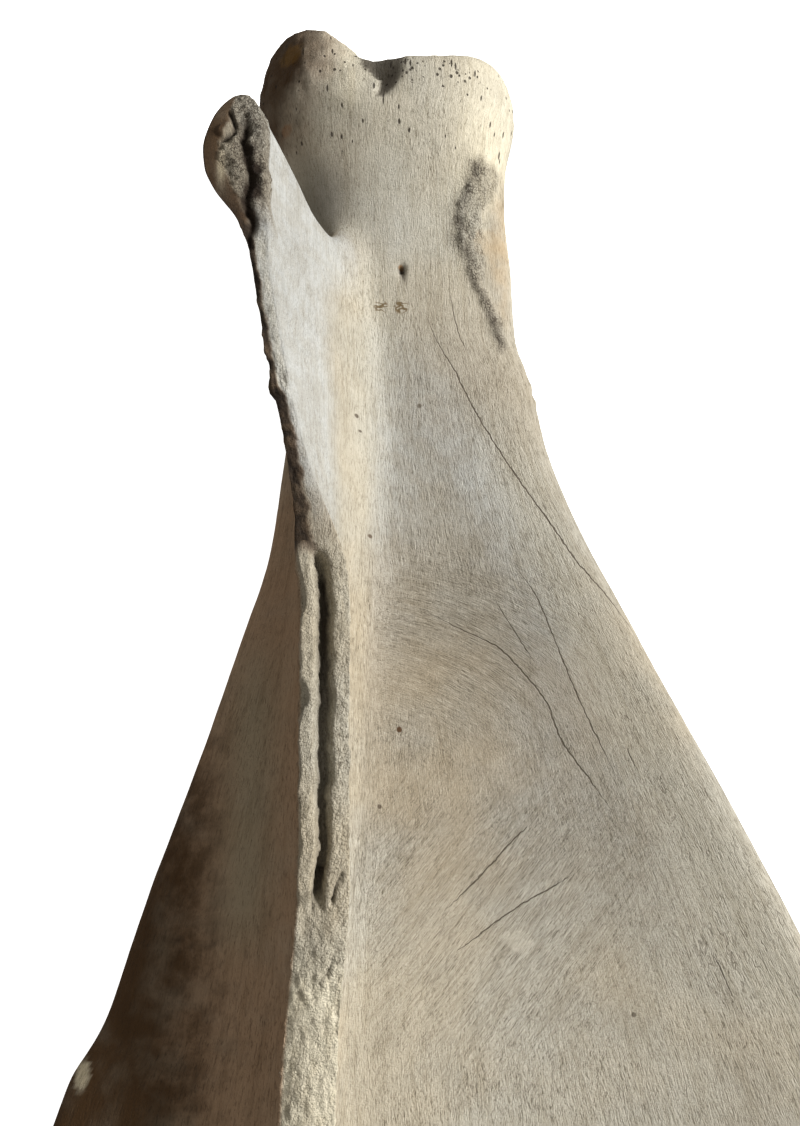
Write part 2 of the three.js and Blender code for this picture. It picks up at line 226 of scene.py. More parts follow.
# %% The blade's section
def section(s, xi):
    """Across the blade, xi runs from -1 at the front edge to 1 at the rear edge. x is linear in xi.
    The middle line is a height plus an arch and a hollow, minus a dish and the fall of the front
    part. The half thickness closes at the edges as the square root of 1 - |xi| ** squareness."""
    q = unit((s - BLADE_LENGTH + BORDER.corner) / BORDER.corner)
    inset = BORDER.corner * (1 - np.sqrt(1 - q * q))
    front, rear = front_edge(s) + inset, rear_edge(s) - inset
    x = (front + rear) / 2 + xi * (rear - front) / 2
    from_spine = x - spine_line(s)
    backward = unit(from_spine / (rear_edge(s) - spine_line(s)))
    forward = unit(from_spine / (front_edge(s) - spine_line(s)))
    hollow = INNER_HOLLOW.rise * ease(s, INNER_HOLLOW.start, INNER_HOLLOW.full)
    dish = OUTER_HOLLOW.depth * ease(s, OUTER_HOLLOW.start, OUTER_HOLLOW.full)
    middle = (
        mid_height(s)
        + BORDER.arch * ease(s, BORDER.start, BLADE_LENGTH) * (1 - xi * xi)
        + hollow * bell(from_spine, INNER_HOLLOW.width)
        - dish * np.sin(np.pi * backward) ** 2
        - front_fall(s) * forward**FRONT_FALL_POWER
    )
    half = half_thickness(s)
    for form, distance in ((REAR_BORDER, rear - x), (FRONT_BORDER, x - front), (SPINE_FOOT, from_spine)):
        half = half + form.swell * ease(s, form.start, form.full) * bell(distance, form.width)
    close = np.sqrt(unit(1 - np.abs(xi) ** squareness(s)))
    return x, middle, half * close


def outer_face(s, x):
    """Height and thickness of the blade at station s and distance x."""
    front, rear = front_edge(s), rear_edge(s)
    _, middle, half = section(s, np.clip((2 * x - front - rear) / (rear - front), -1, 1))
    return middle + half, 2 * half

# %% The bend of the top border, and the head
def bend(s, x):
    """Stations fall back at both ends of the top border, by a parabola that grows towards it."""
    reach = unit((s - BORDER.start) / (BLADE_LENGTH - BORDER.start)) ** BEND_POWER
    across = x - BORDER.middle
    side = np.where(across > 0, rear_edge(s) - BORDER.middle, BORDER.middle - front_edge(s))
    fall = np.where(across > 0, BORDER.rear_fall, BORDER.front_fall)
    return s - reach * fall * (across / side) ** 2


def shape_head(s, x, z, face):
    """Moves points near the socket: out for the tubercle, the rear lip and the beak, in for the
    socket's cup where face is 1, and down for the notch of the outer rim."""
    def fade(form):
        return fall(s, 0, form.root)

    def radius(form):
        return np.hypot((x - form.x) / form.half_length, (z - form.z) / form.half_width)

    def spread(form, width, height):
        return bell(x - form.x, width) * bell(z - form.z, height)

    tubercle = TUBERCLE_REACH * np.exp(-radius(TUBERCLE) ** 4) * fade(TUBERCLE)
    lip = REAR_LIP.reach * spread(REAR_LIP, REAR_LIP.width, REAR_LIP.height) * fade(REAR_LIP)
    notch_width = np.where(x > NOTCH.x, NOTCH.rear, NOTCH.front)
    notch = spread(NOTCH, notch_width, NOTCH.height) * fade(NOTCH)
    cup = face * SOCKET.depth * unit(1 - radius(SOCKET) ** 2)
    beak = spread(CORACOID, CORACOID.radius, CORACOID.radius) * bell(s, CORACOID.reach)
    along = s - tubercle - lip - NOTCH.forward * notch + cup - CORACOID.forward * beak
    return along, x - CORACOID.out * beak, z - NOTCH.drop * notch

# %% The blade's grid, finer at the neck and on the outer face
NECK_STEP, BLADE_STEP, NECK_END = 0.9, 1.3, 90
OUTER_COLUMNS, INNER_COLUMNS, FACE_RINGS = 132, 66, 30
BORDER_ROWS = [0.0, 0.3, 0.55, 0.75, 0.9]
NEAR_BORDER = [0, 0.3, 0.9, 1.8, 3]
LAST_NECK_ROW, NEAR_RIM = 3.9, [3.2, 2.4, 1.6, 1.0, 0.4]


def blade_grid():
    """Rows of points: the top border from its middle line out, the stations from the border to the
    socket's rim, and rings over the socket face. Columns go round: outer face, then the rib face."""
    across = np.concatenate([
        -np.cos(np.pi * np.arange(OUTER_COLUMNS) / OUTER_COLUMNS),
        np.cos(np.pi * np.arange(INNER_COLUMNS) / INNER_COLUMNS),
    ])
    side = np.where(np.arange(len(across)) < OUTER_COLUMNS, 1.0, -1.0)
    side[np.abs(across) == 1] = 0.0

    border_shares = np.array(BORDER_ROWS)[:, None]
    x, middle, half = section(np.full(len(across), float(BLADE_LENGTH)), across)
    border_s = bend(BLADE_LENGTH, x) + BORDER.bulge * (1 - border_shares**2)
    border = np.stack(np.broadcast_arrays(x, -border_s, middle + side * half * border_shares), -1)

    near_border = BLADE_LENGTH - np.array(NEAR_BORDER)
    stations = np.concatenate([
        near_border,
        np.arange(near_border[-1] - BLADE_STEP, NECK_END, -BLADE_STEP),
        np.arange(NECK_END, LAST_NECK_ROW, -NECK_STEP),
        NEAR_RIM,
    ])[:, None]
    x, middle, half = section(stations, across[None, :])
    rim = 1 - SOCKET_RIM.drawn_in * bell(stations, SOCKET_RIM.round)
    drawn_x = x * rim + SOCKET.x * (1 - rim)
    s, x, z = shape_head(bend(stations, x), drawn_x, middle + side * half * rim, 0.0)
    body = np.stack([x, -s, z], -1)

    rings = (1 - SOCKET_RIM.drawn_in) * np.linspace(0.97, 0, FACE_RINGS)[:, None]
    x, middle, half = section(np.zeros(len(across)), across)
    ring_x = SOCKET.x + (x - SOCKET.x) * rings
    s, x, z = shape_head(0.0, ring_x, middle + side * half * rings, 1.0)
    face = np.stack(np.broadcast_arrays(x, -s, z), -1)
    return np.concatenate([border, body, face])


blade_points = blade_grid()
print("blade grid:", blade_points.shape)

# %% [markdown]
# The spine and the acromion
#
# The spine is a wall that leans forward over the neck and stands upright higher up. In plan each
# level of it is a long closed loop, and the levels are stacked from a root sunk in the blade to the
# crest. The lower end of each level follows the free edge that runs from the neck out to the
# acromion, which is what gives the hook. The crest swells along its middle third, where a
# channel with a ragged lip has opened in the weathered bone.

# %% The spine's section, its crest and the ragged channel
def spine_section(s, share):
    """x leans from the line on the blade to the crest line as share ** LEAN_POWER. The half width is
    the wall's, plus a foot that dies away exponentially with height, plus the swell to the crest,
    and it closes at the lower edge as a quarter circle."""
    top, thick = outer_face(s, spine_line(s))
    height = np.maximum(0, crest_height(s) - top)
    rise = share * height
    past = s - lower_edge(share)
    footing = np.minimum(1, height / FOOT.full_height) * ease(past, -FOOT.start / 4, FOOT.start)
    flare = FOOT.flare * footing * np.exp(-rise / FOOT.fall)
    swell = ease(share, 1 - CREST_ROUND, 1) * (crest_half_width(s) - wall_half_width(s))
    from_end = unit(past / LOWER_EDGE_ROUND)
    x = spine_line(s) + (crest_line(s) - spine_line(s)) * share**LEAN_POWER
    half = (wall_half_width(s) + flare + swell) * np.sqrt(1 - (1 - from_end) ** 2)
    return x, top + rise, half, top - SINK * thick


def crest_relief(s, across):
    """Height over the crest's edge: a low dome, minus the channel, plus a loose strip of bone along
    the channel's front side. The channel is steep in front and gentle behind. Noise along s makes
    the strip's two edges and the channel wander."""
    along = np.stack([s, across, np.zeros_like(s)], -1).reshape(-1, 3)
    wander, ragged, frayed = (
        rough_noise(along, size, seed, octaves).reshape(s.shape)
        for size, seed, octaves in ((15, 11, 3), (3.2, 23, 3), (1.3, 29, 2))
    )
    here = ease(s, CHANNEL.start, CHANNEL.start + CHANNEL.ease)
    here = here - ease(s, CHANNEL.end - 3 * CHANNEL.ease, CHANNEL.end)
    crown = CREST_CROWN * crest_half_width(s) * (1 - across**2)
    offset = across - CHANNEL.centre - 0.06 * wander - 0.05 * ragged
    narrowing = 1 - 0.5 * ease(s, 172, CHANNEL.end)
    width = np.where(offset < 0, CHANNEL.steep, CHANNEL.gentle * narrowing)
    channel = CHANNEL.depth * np.exp(-np.abs(offset / width) ** CHANNEL_SHAPE)
    notch = 0.3 * bell(s - LIP_STRIP.notch_at, 2.5) + 0.2 * bell(s - 148, 5)
    front = LIP_STRIP.front + notch + 0.07 * ragged + 0.08 * wander
    rear = LIP_STRIP.rear + 0.08 * wander + 0.07 * ragged + 0.09 * frayed
    strip_part = ease(s, LIP_STRIP.start, LIP_STRIP.start + 0.8)
    strip_part = strip_part - ease(s, LIP_STRIP.end - 2, LIP_STRIP.end)
    strip = (LIP_STRIP.height - LIP_STRIP.tilt * across) * strip_part
    strip = strip * ease(across, front, front + LIP_EDGE) * fall(across, rear, rear + LIP_EDGE)
    flake = 1.3 * bell(s - 210, 3.6) * bell(across + 0.86, 0.22)
    return crown - here * channel + strip + flake

# %% The spine's grid
SPINE_STEPS = 420
WALL_LEVELS, CREST_COLUMNS, LEVEL_POWER = 17, 17, 1.15
ALONG_MIX = Sizes(even=0.6, power=1.6)


def spine_grid():
    """Rows of points from the root up the walls and over the crest. Each row is a loop that goes up
    the front wall and back down the rear wall, with the steps closer together at the acromion."""
    step = np.concatenate([np.arange(SPINE_STEPS), np.arange(SPINE_STEPS, 0, -1)]) / SPINE_STEPS
    side = np.where(np.arange(2 * SPINE_STEPS) < SPINE_STEPS, -1.0, 1.0)
    side[np.isin(step, (0, 1))] = 0.0
    q = ALONG_MIX.even * step + (1 - ALONG_MIX.even) * step**ALONG_MIX.power

    levels = np.linspace(0, 1, WALL_LEVELS + 1)[:-1, None] ** LEVEL_POWER
    s = lower_edge(levels) + (SPINE_TOP_END - lower_edge(levels)) * q
    x, z, half, _ = spine_section(s, levels)
    walls = np.stack([x + side * half, -s, z], -1)

    top_s = lower_edge(1.0) + (SPINE_TOP_END - lower_edge(1.0)) * q
    x, z, half, _ = spine_section(top_s, 1.0)
    across = side * np.linspace(1, 0, CREST_COLUMNS)[:, None]
    relief = crest_relief(np.broadcast_to(top_s, across.shape), across)
    spread = np.minimum(1, half / crest_half_width(top_s))
    crest = np.stack(np.broadcast_arrays(x + half * across, -top_s, z + relief * spread), -1)

    root_s = lower_edge(0.0) + (SPINE_TOP_END - lower_edge(0.0)) * q
    x, _, half, root_z = spine_section(root_s, 0.0)
    shares = np.array([0.0, 1.0])[:, None]
    root = np.stack(np.broadcast_arrays(x + side * half * shares, -root_s, root_z), -1)
    return np.concatenate([root, walls, crest])


spine_points = spine_grid()
print("spine grid:", spine_points.shape)

# %% [markdown]
# From grids to one closed body
#
# A grid that closes on itself round its columns becomes quads between neighbouring rows. Its first
# and last rows fold onto a line, and merging the doubles there zips the ends shut. The two closed
# bodies are then joined by a Boolean union, which keeps only the outside, as one bone has.

# %% Grids to meshes, and the union
def grid_object(name, points):
    """A closed mesh object from rows of points that go round. Doubles are merged, so that the ends
    close, and the faces are turned outwards."""
    rows, columns = points.shape[:2]
    index = np.arange(rows * columns).reshape(rows, columns)
    across = np.roll(index, -1, axis=1)
    quads = np.stack([index[:-1], across[:-1], across[1:], index[1:]], -1).reshape(-1, 4)
    mesh = bpy.data.meshes.new(name)
    mesh.from_pydata(points.reshape(-1, 3), [], quads.tolist())
    body = bmesh.new()
    body.from_mesh(mesh)
    bmesh.ops.remove_doubles(body, verts=body.verts, dist=1e-3)
    bmesh.ops.recalc_face_normals(body, faces=body.faces)
    body.to_mesh(mesh)
    body.free()
    made = bpy.data.objects.new(name, mesh)
    bpy.context.scene.collection.objects.link(made)
    return made


def on_table(points):
    """Nothing goes below the table: the rests are the small flats where z is cut off at 0."""
    return np.stack([points[..., 0], points[..., 1], np.maximum(points[..., 2], 0)], -1)


bone = grid_object("weathered_bone", on_table(blade_points))
spine = grid_object("spine", spine_points)
join = bone.modifiers.new("join", "BOOLEAN")
join.operation = "UNION"
join.solver = "EXACT"
join.object = spine
bpy.context.view_layer.objects.active = bone
bpy.ops.object.modifier_apply(modifier="join")
bpy.data.objects.remove(spine)
mesh = bone.data
print("joined bone:", len(mesh.vertices), "vertices,", len(mesh.polygons), "faces")

# %% [markdown]
# Where things are on the bone
#
# The wear and the colours depend on the place. For every vertex this cell works out its station, its
# height over the blade, and soft masks for the regions: the wall and crest of the spine, the
# acromion, the hollow in front of the spine, the rim, the rear ridge and the top border. A mask could
# be painted by hand, but a formula follows the form when a size changes. The numbers in ease, fall and
# bell are millimetres, or shares of the crest's half width: where a mask starts and ends, and how wide
# it is.

# %% Reading the mesh, and smoothing
def coordinates():
    flat = np.empty(3 * len(mesh.vertices))
    mesh.vertices.foreach_get("co", flat)
    return flat.reshape(-1, 3)


def outward():
    mesh.update()
    flat = np.empty(3 * len(mesh.vertices))
    mesh.vertex_normals.foreach_get("vector", flat)
    return flat.reshape(-1, 3)


def smoothed(points, edges, weight, rounds):
    """Each point moves by its weight towards the mean of its neighbours, rounds times."""
    first, second = edges.T
    count = np.bincount(edges.ravel(), minlength=len(points))[:, None]
    for _ in range(rounds):
        total = np.stack([
            np.bincount(first, points[second, axis], len(points))
            + np.bincount(second, points[first, axis], len(points))
            for axis in range(3)
        ], -1)
        points = points + weight[:, None] * (total / count - points)
    return points

# %% Rounding the foot of the spine
points = coordinates()
x, s, z = points[:, 0], -points[:, 1], points[:, 2]
edges = np.empty(2 * len(mesh.edges), int)
mesh.edges.foreach_get("vertices", edges)
edges = edges.reshape(-1, 2)

foot_top, _ = outer_face(s, spine_line(s))
_, _, foot_half, _ = spine_section(s, 0.0)
at_foot = bell(np.abs(x - spine_line(s)) - foot_half, 4.5) * bell(z - foot_top, 5.0) * (s > 38)
points = smoothed(points, edges, 0.7 * at_foot, 50)
from_lower_foot = np.hypot(x - LOWER_FOOT.x, s - LOWER_FOOT.s)
at_notch = bell(from_lower_foot, LOWER_FOOT.radius) * bell(z - foot_top, 7)
points = smoothed(points, edges, 0.7 * at_notch, 110)
mesh.vertices.foreach_set("co", on_table(points).ravel())
normal = outward()
x, s, z = points[:, 0], -points[:, 1], points[:, 2]
print("smoothed vertices:", int((np.maximum(at_foot, at_notch) > 0.1).sum()))

# %% Masks of the regions
spine_x, front_x, rear_x = spine_line(s), front_edge(s), rear_edge(s)
from_spine = x - spine_x
blade_top, _ = outer_face(s, x)
above = z - blade_top
behind = x - rear_x
on_head = fall(s, 26, 40)
outer = on_head * ease(z - mid_height(s), 0, 3) + (1 - on_head) * ease(above, -1.2, -0.3)
on_spine = ease(above, 0.6, 3) * ease(s, 34, 37)
crest_z = crest_height(np.clip(s, 36, SPINE_TOP_END))
near_crest = on_spine * ease(z - crest_z, -5.5, -2.5)
across = (x - crest_line(s)) / crest_half_width(s)
acromion = near_crest * fall(s, 60, 76)
top_border = ease(s - bend(BLADE_LENGTH, x), -9, -1)
print("vertices on the crest:", int((near_crest > 0.5).sum()))

# %% [markdown]
# Wear that has a shape
#
# Weathered bone is smooth where it is dense and open and granular where ligament and cartilage once
# held on. These parts have real relief in the photograph, so they are pushed into the mesh and not
# only painted: the grey knob of the acromion with its crevice, the ragged crest, the muscle ridge
# behind the neck, the feeding hole, the knobbly tubercle and the porous top border.

# %% Ridges and grooves along a line
def ridge(knots, width, start, end, wander=0.0, seed=0, fade=6):
    """A ridge profile across the line x = f(s), with soft ends."""
    along = np.stack([s, np.zeros_like(s), np.zeros_like(s)], -1)
    line = through(knots)(s) + wander * rough_noise(along, 5, seed)
    reach = ease(s, start, start + fade) * fall(s, end - fade, end)
    return x - line, bell(x - line, width) * reach, reach


def groove(places, width):
    """1 on a broken line through (x, s) places, falling off as a bell of the distance to it."""
    nearest = np.full(len(s), 1e3)
    for (x0, s0), (x1, s1) in zip(places[:-1], places[1:]):
        along = (x - x0) * (x1 - x0) + (s - s0) * (s1 - s0)
        share = unit(along / ((x1 - x0) ** 2 + (s1 - s0) ** 2))
        nearest = np.minimum(nearest, np.hypot(x - x0 - share * (x1 - x0), s - s0 - share * (s1 - s0)))
    return bell(nearest, width)

# %% Grain sizes, and places of the wear
granular = rough_noise(points, 2.2, 101)
fine_grain = rough_noise(points, 1.2, 131, 2)
lumps = rough_noise(points, 6.0, 151)
waves = rough_noise(points, 28.0, 171)

CREVICE = [(38, -33.4), (47, -32.7), (52, -32.8), (58.4, -32.2), (67.6, -31.8), (76, -31.4), (84, -30.8)]
REAR_RIDGE = [
    (24.4, 20.7), (31.3, 17.8), (39.1, 14.7), (44.2, 15.2), (50.5, 17.1), (58.7, 20), (65, 22.5),
    (73, 25.2),
]
REAR_ARCH = [(24.4, 20.7), (29.1, 23.1), (34.2, 25.1), (40.9, 25.7), (47, 27)]
FEEDING_HOLE = Sizes(x=0.5, s=53.4, radius=0.95, depth=1.9, tail=4.5)
FACET_FRONT = [(1, -10), (4.5, -7.2), (7.5, -5), (12.8, -6.3)]
FACET_REAR = [(0, 2.6), (6, 1.3), (12.8, -2.5)]
NOTCH_FACET = Sizes(depth=1.6, start=2, full=6, fade=10, end=14)
HOOKED_CRACK = [(-36.9, 42.7), (-35.7, 46), (-35.5, 49.2), (-38, 50.8)]
CRESCENTS = [[(-11, 200.5), (-12.4, 203), (-13, 205.5)], [(-12.8, 216.5), (-14, 219), (-15.6, 220.6)]]
STRIP_GAP = [(-15.6, 199), (-16, 203), (-16.8, 207)]
FOSSA_SCRATCH = [(-50.8, 211.4), (-47.2, 212.1), (-43.6, 213.8), (-39.8, 213.4)]
FLAKE = Sizes(x=-37.3, s=48, radius=2.2)
print("grain:", round(float(granular.std()), 2))

# %% The ridge behind the neck
from_crevice, crevice, _ = ridge(CREVICE, 1.0, 41, 88, 0.8, 211)
from_ridge, rear_ridge, ridge_reach = ridge(REAR_RIDGE, 1.5, 22, 76, 0.5, 223, 4)
from_arch, rear_arch, _ = ridge(REAR_ARCH, 1.6, 23, 46, 0.4, 227, 3)
on_outer_neck = ease(z, 20, 25) * (1 - on_spine)
upper_ridge = fall(s, 46, 56)
# A dark granular smudge left of the rear ridge, with painted shadow on the ridge's side away from the lamp.
smudge_and_shadow = bell(from_ridge + 0.6, 3.0) * ridge_reach * upper_ridge * on_outer_neck
rear_ridge = np.maximum(rear_ridge, rear_arch * 0.8) * on_outer_neck
ridge_width = 6.8 - 4 * ease(s, 42, 57)
ridge_zone = ease(from_ridge + 0.4 * granular, -1.2, 0.2) * ridge_reach * on_outer_neck
ridge_zone = ridge_zone * fall(from_ridge + 0.6 * granular, ridge_width - 1.5, ridge_width + 0.5)
plateau = ease(from_ridge, ridge_width - 1.5, ridge_width + 2) * ridge_reach * on_outer_neck
print("ridge vertices:", int((ridge_zone > 0.5).sum()))

# %% The crest and the acromion
thin_crest = near_crest * ease(s, 68, 76) * fall(s, 128, 140) * fall(across, 0.5, 1.1)
channel_part = near_crest * ease(s, 134, 142) * fall(s, 216, 226)
upper_crest = near_crest * ease(s, 210, 225)
crest_lip = ease(s, 102.5, 106.8) - ease(s, 106.8, 107.6)
crest_step = bell(s - 72, 3) * granular + bell(s - 103, 8) * granular
lower_knob = 0.3 * ease(s, 54, 66)
bare_acromion = acromion * ease(across - lower_knob + 0.1 * lumps + 0.06 * granular, -0.46, -0.36)
crevice_part = crevice * near_crest * (1 - 0.7 * ease(s, 66, 84))
from_flake = np.hypot(x - FLAKE.x, s - FLAKE.s)
flake = acromion * fall(from_flake, FLAKE.radius - 0.5, FLAKE.radius)
print("bare vertices of the acromion:", int((bare_acromion > 0.5).sum()))

# %% The head, the feeding hole and the cracks of the crest
tubercle_part = bell(x - TUBERCLE.x, 17) * fall(s, 2, 16)
rim_part = fall(s, 2, 9)
hole_distance = np.hypot(x - FEEDING_HOLE.x, s - FEEDING_HOLE.s)
hole_part = on_outer_neck * bell(hole_distance, FEEDING_HOLE.radius)
tail_share = (s - FEEDING_HOLE.s) / FEEDING_HOLE.tail
hole_tail = bell(x - FEEDING_HOLE.x - 0.7 * tail_share, 0.6) * ease(s - FEEDING_HOLE.s, -0.5, 0.8)
hole_tail = on_outer_neck * hole_tail * fall(tail_share, 0.4, 1.1)
facet_front, facet_rear = through(FACET_FRONT)(s), through(FACET_REAR)(s)
facet = unit((facet_rear - x) / (facet_rear - facet_front)) * ease(x - facet_front, -0.6, 0.4)
facet = facet * ease(s, NOTCH_FACET.start, NOTCH_FACET.full) * fall(s, NOTCH_FACET.fade, NOTCH_FACET.end)
# The facet of the rim's notch faces away from the lamp: it is painted dark, as stain and painted shade.
facet_stain_and_shade = ease(x - facet_front + 0.5 * granular, -0.3, 0.3)
facet_stain_and_shade = facet_stain_and_shade * fall(x - facet_rear + 0.5 * granular, -2, 0.6)
facet_stain_and_shade = facet_stain_and_shade * fall(s + 0.6 * granular, 12, 13.4) * outer
hooked = groove(HOOKED_CRACK, 0.5) * near_crest
crescents = np.maximum(groove(CRESCENTS[0], 0.32), groove(CRESCENTS[1], 0.32)) * near_crest
strip_gap = groove(STRIP_GAP, 0.5) * near_crest
print("feeding hole vertices:", int((hole_part > 0.5).sum()))

# %% Relief in millimetres along the surface
relief = (
    0.05 * lumps
    + 0.18 * waves
    + bare_acromion * (1 - flake) * (0.3 * granular + 0.5 * fine_grain)
    - 1.6 * crevice_part * (1 + 0.6 * granular)
    + 0.5 * flake
    + thin_crest * (0.08 * granular + 0.18 * fine_grain + 0.12 * lumps + 0.45 * crest_step + 0.8 * crest_lip)
    + channel_part * (0.14 * granular + 0.2 * fine_grain)
    + upper_crest * (0.16 * granular + 0.32 * fine_grain + 0.12 * lumps)
    + smudge_and_shadow * (0.1 + 0.18 * granular + 0.25 * fine_grain)
    + rear_ridge * 0.4
    + ridge_zone * (0.2 + 0.35 * granular + 0.4 * fine_grain)
    + plateau * 0.2
    + tubercle_part * (0.25 * granular + 0.3 * lumps + 0.1 * fine_grain)
    + rim_part * 0.10 * granular
    + 0.35 * granular * bell(behind, 2.0) * bell(s - 81, 8)
    + top_border * (0.3 * granular + 0.3 * fine_grain)
    - hole_part * FEEDING_HOLE.depth
    - 0.6 * hole_tail
    - NOTCH_FACET.depth * facet * outer
    - 1.1 * hooked
    - 0.9 * crescents
    - 0.8 * strip_gap
)
points = on_table(points + normal * relief[:, None])
mesh.vertices.foreach_set("co", points.ravel())
print("relief, mm:", round(float(relief.min()), 2), "to", round(float(relief.max()), 2))

# %% [markdown]
# Painted maps, kept as attributes
#
# Stains, dirt, painted shade on the sides away from the lamp and in the hollows, painted highlights on
# the faces that turn to it, and the run of the grain follow the anatomy, so they are stored on the
# vertices from the same formulas. The grain needs three numbers: across the fibres, along them, and a
# share of the height. Down the neck the fibres run straight, then they fan out over the blade, and two
# zones curl round. Cracks are stored as the offset from a line x = f(s) divided by its half width, so
# the shader draws one where that is between -1 and 1.

# %% Grain directions
def store(name, *values):
    """Saves one or three numbers for each vertex under a name that the material reads."""
    kind, key = ("FLOAT", "value") if len(values) == 1 else ("FLOAT_VECTOR", "vector")
    flat = np.stack(values, -1).astype(np.float32).ravel()
    mesh.attributes.new(name, kind, "POINT").data.foreach_set(key, flat)


def patch(x_middle, x_width, s_middle, s_width):
    """A soft oval: a bell of x times a bell of s."""
    return bell(x - x_middle, x_width) * bell(s - s_middle, s_width)


ARC_CENTRE = Sizes(x=-11.7, s=204.3, radius=50)
SWEEP_ANGLE = np.radians(50)
FAN_BEHIND, FAN_BEFORE = 52, 30
behind_spine = from_spine / (rear_x - spine_x) * FAN_BEHIND
before_spine = from_spine / (spine_x - front_x) * FAN_BEFORE
fan = np.where(x > spine_x, behind_spine, before_spine)
grain_z = 0.25 * z + 0.75 * np.maximum(above, 0)
wall_share = unit((z - foot_top) / np.maximum(crest_z - foot_top, 1)) * (s > 36)
from_wall = from_spine - (crest_line(s) - spine_x) * wall_share**LEAN_POWER
arc_radius = np.hypot(x - ARC_CENTRE.x, s - ARC_CENTRE.s)
arc_turn = np.arctan2(x - ARC_CENTRE.x, ARC_CENTRE.s - s) * ARC_CENTRE.radius
sweep_across = x * np.sin(SWEEP_ANGLE) + s * np.cos(SWEEP_ANGLE)
sweep_along = x * np.cos(SWEEP_ANGLE) - s * np.sin(SWEEP_ANGLE)
store("grain_fan", fan, s, grain_z)
store("grain_arc", arc_radius, arc_turn, grain_z)
store("grain_sweep", sweep_across, sweep_along, grain_z)

off_spine = 1 - on_spine
fan_width = np.where(x > spine_x, rear_x - spine_x, 40)
fine_zone = ease(fan_width, 52, 92) * off_spine
arc_zone = patch(14, 26, 150, 20) * ease(from_spine, 6, 12) * off_spine
sweep_zone = patch(18, 38, 208, 34) * ease(from_spine, 6, 12) * off_spine
sweep_zone = sweep_zone * (1 - arc_zone)
store("grain_zones", arc_zone, sweep_zone, fine_zone)
kept = arc_zone**2 + (1 - arc_zone) ** 2 * (fine_zone**2 + (1 - fine_zone) ** 2)
store("grain_gain", 1 / np.sqrt(sweep_zone**2 + (1 - sweep_zone) ** 2 * kept))

# %% Brown stain, and painted shade on the sides that face away from the lamp
before = ease(-from_spine, 3, 7) * ease(s, 84, 120) * off_spine
# The spine's front wall below the crest, turned away from the lamp: brown stain and painted shade.
front_wall = ease(-from_wall, 0.2, 1.2) * on_spine * (1 - near_crest) * ease(s, 76, 90)
tubercle_reach = -x - 1.8 * lumps - 0.9 * granular - 7 * ease(s, 0, 12)
# The tubercle's left side, away from the lamp: painted shade in dark brown.
tubercle_left = ease(tubercle_reach, 11, 27) * fall(s, 12, 34) * off_spine
# The acromion's left side, away from the lamp: painted shade in dark brown.
acromion_left = acromion * ease(lower_knob - across - 0.1 * lumps - 0.06 * granular, 0.34, 0.48)
thin_edge = 0.22 * fall(s, 105.5, 108) - 0.45 * ease(s, 104, 110) + 0.4 * ease(s, 114, 128)
# The crest's left side, away from the lamp: painted shade in brown.
crest_left = near_crest * ease(-across + 0.25 * granular - thin_edge, -0.1, 0.35)
crest_left = crest_left * ease(s, 58, 76) * fall(s, 137, 141)
# The crest's left flank along the channel: painted shade in brown.
crest_side = near_crest * ease(-across, 0.84, 0.98) * ease(s, 120, 140)
# This sum is real brown stain in the hollow, stain and painted shade on the front wall, and painted shade on
# the left sides of the tubercle, the acromion and the crest.
stain_and_shade = before + front_wall + tubercle_left + 0.95 * acromion_left + crest_side + 0.9 * crest_left
stain_and_shade = unit(stain_and_shade)
# How deep the brown is: real stain far into the hollow, and painted shade on the left sides of the tubercle,
# the acromion and the crest.
deep_stain_and_shade = ease(-from_spine, 9, 42) * ease(s, 120, 200)
deep_stain_and_shade = deep_stain_and_shade + tubercle_left + acromion_left + 0.75 * crest_left
print("stained vertices:", int((stain_and_shade > 0.5).sum()))

# %% Soil, and painted shade in the hollows, creases and the feeding hole
# Painted shade under the foot of the spine, where it leans over the neck.
shade_under_spine = patch(-19, 9, 34, 12) * off_spine * outer
channel_offset = across - CHANNEL.centre
channel_width = np.where(channel_offset < 0, CHANNEL.steep, 0.8 * CHANNEL.gentle)
# Painted shade on the floor of the crest's channel.
channel_floor_shade = near_crest * np.exp(-np.abs(channel_offset / channel_width) ** 3)
channel_floor_shade = channel_floor_shade * ease(s, 141, 145) * (0.9 - 0.5 * ease(s, 152, 178)) * fall(s, 196, 207)
# Painted shadow beside the acromion's crevice, made ragged by the grain.
serrated_shadow = bell(from_crevice - 1.2, 2.2) * acromion * ease(s, 44, 58) * (0.9 - 1.2 * granular)
ridge_line = (0.34 + 0.14 * ease(s, 52, 60)) * bell(from_ridge + 0.5 * granular, 1.0)
ridge_line = ridge_line * ridge_reach * on_outer_neck * (0.8 - 0.8 * fine_grain)
# Painted shade: the crevice, the shadow beside it, under the spine, the channel floor, the feeding hole and
# its tail, the crest's left side and the notch facet. Granular soil with painted shadow: the smudge left of
# the rear ridge. Soil: the ridge's granules, the cracks, the gap beside the strip and the scratch in the
# hollow.
soil_and_shade = (
    crevice_part
    + unit(serrated_shadow)
    + 0.5 * shade_under_spine
    + channel_floor_shade
    + smudge_and_shadow * np.clip(0.16 - 0.12 * granular - 0.12 * fine_grain, 0, 0.4)
    + ridge_line
    + 0.9 * hole_part
    + 0.75 * hole_tail
    + crest_left * unit(0.75 - 0.5 * fine_grain)
    + 0.78 * facet_stain_and_shade
    + 0.9 * hooked
    + 0.5 * crescents
    + 0.6 * strip_gap
    + 0.5 * groove(FOSSA_SCRATCH, 0.35)
)
print("soiled vertices:", int((soil_and_shade > 0.5).sum()))

# %% Cream, grey and light parts, with painted highlights on faces that turn to the lamp
# The neck's right side, towards the lamp: cream, and painted highlight.
cream_and_highlight = ease(x, 6, 22) * fall(s, 26, 60) * (0.65 + 0.35 * ease(s, 6, 20)) * outer
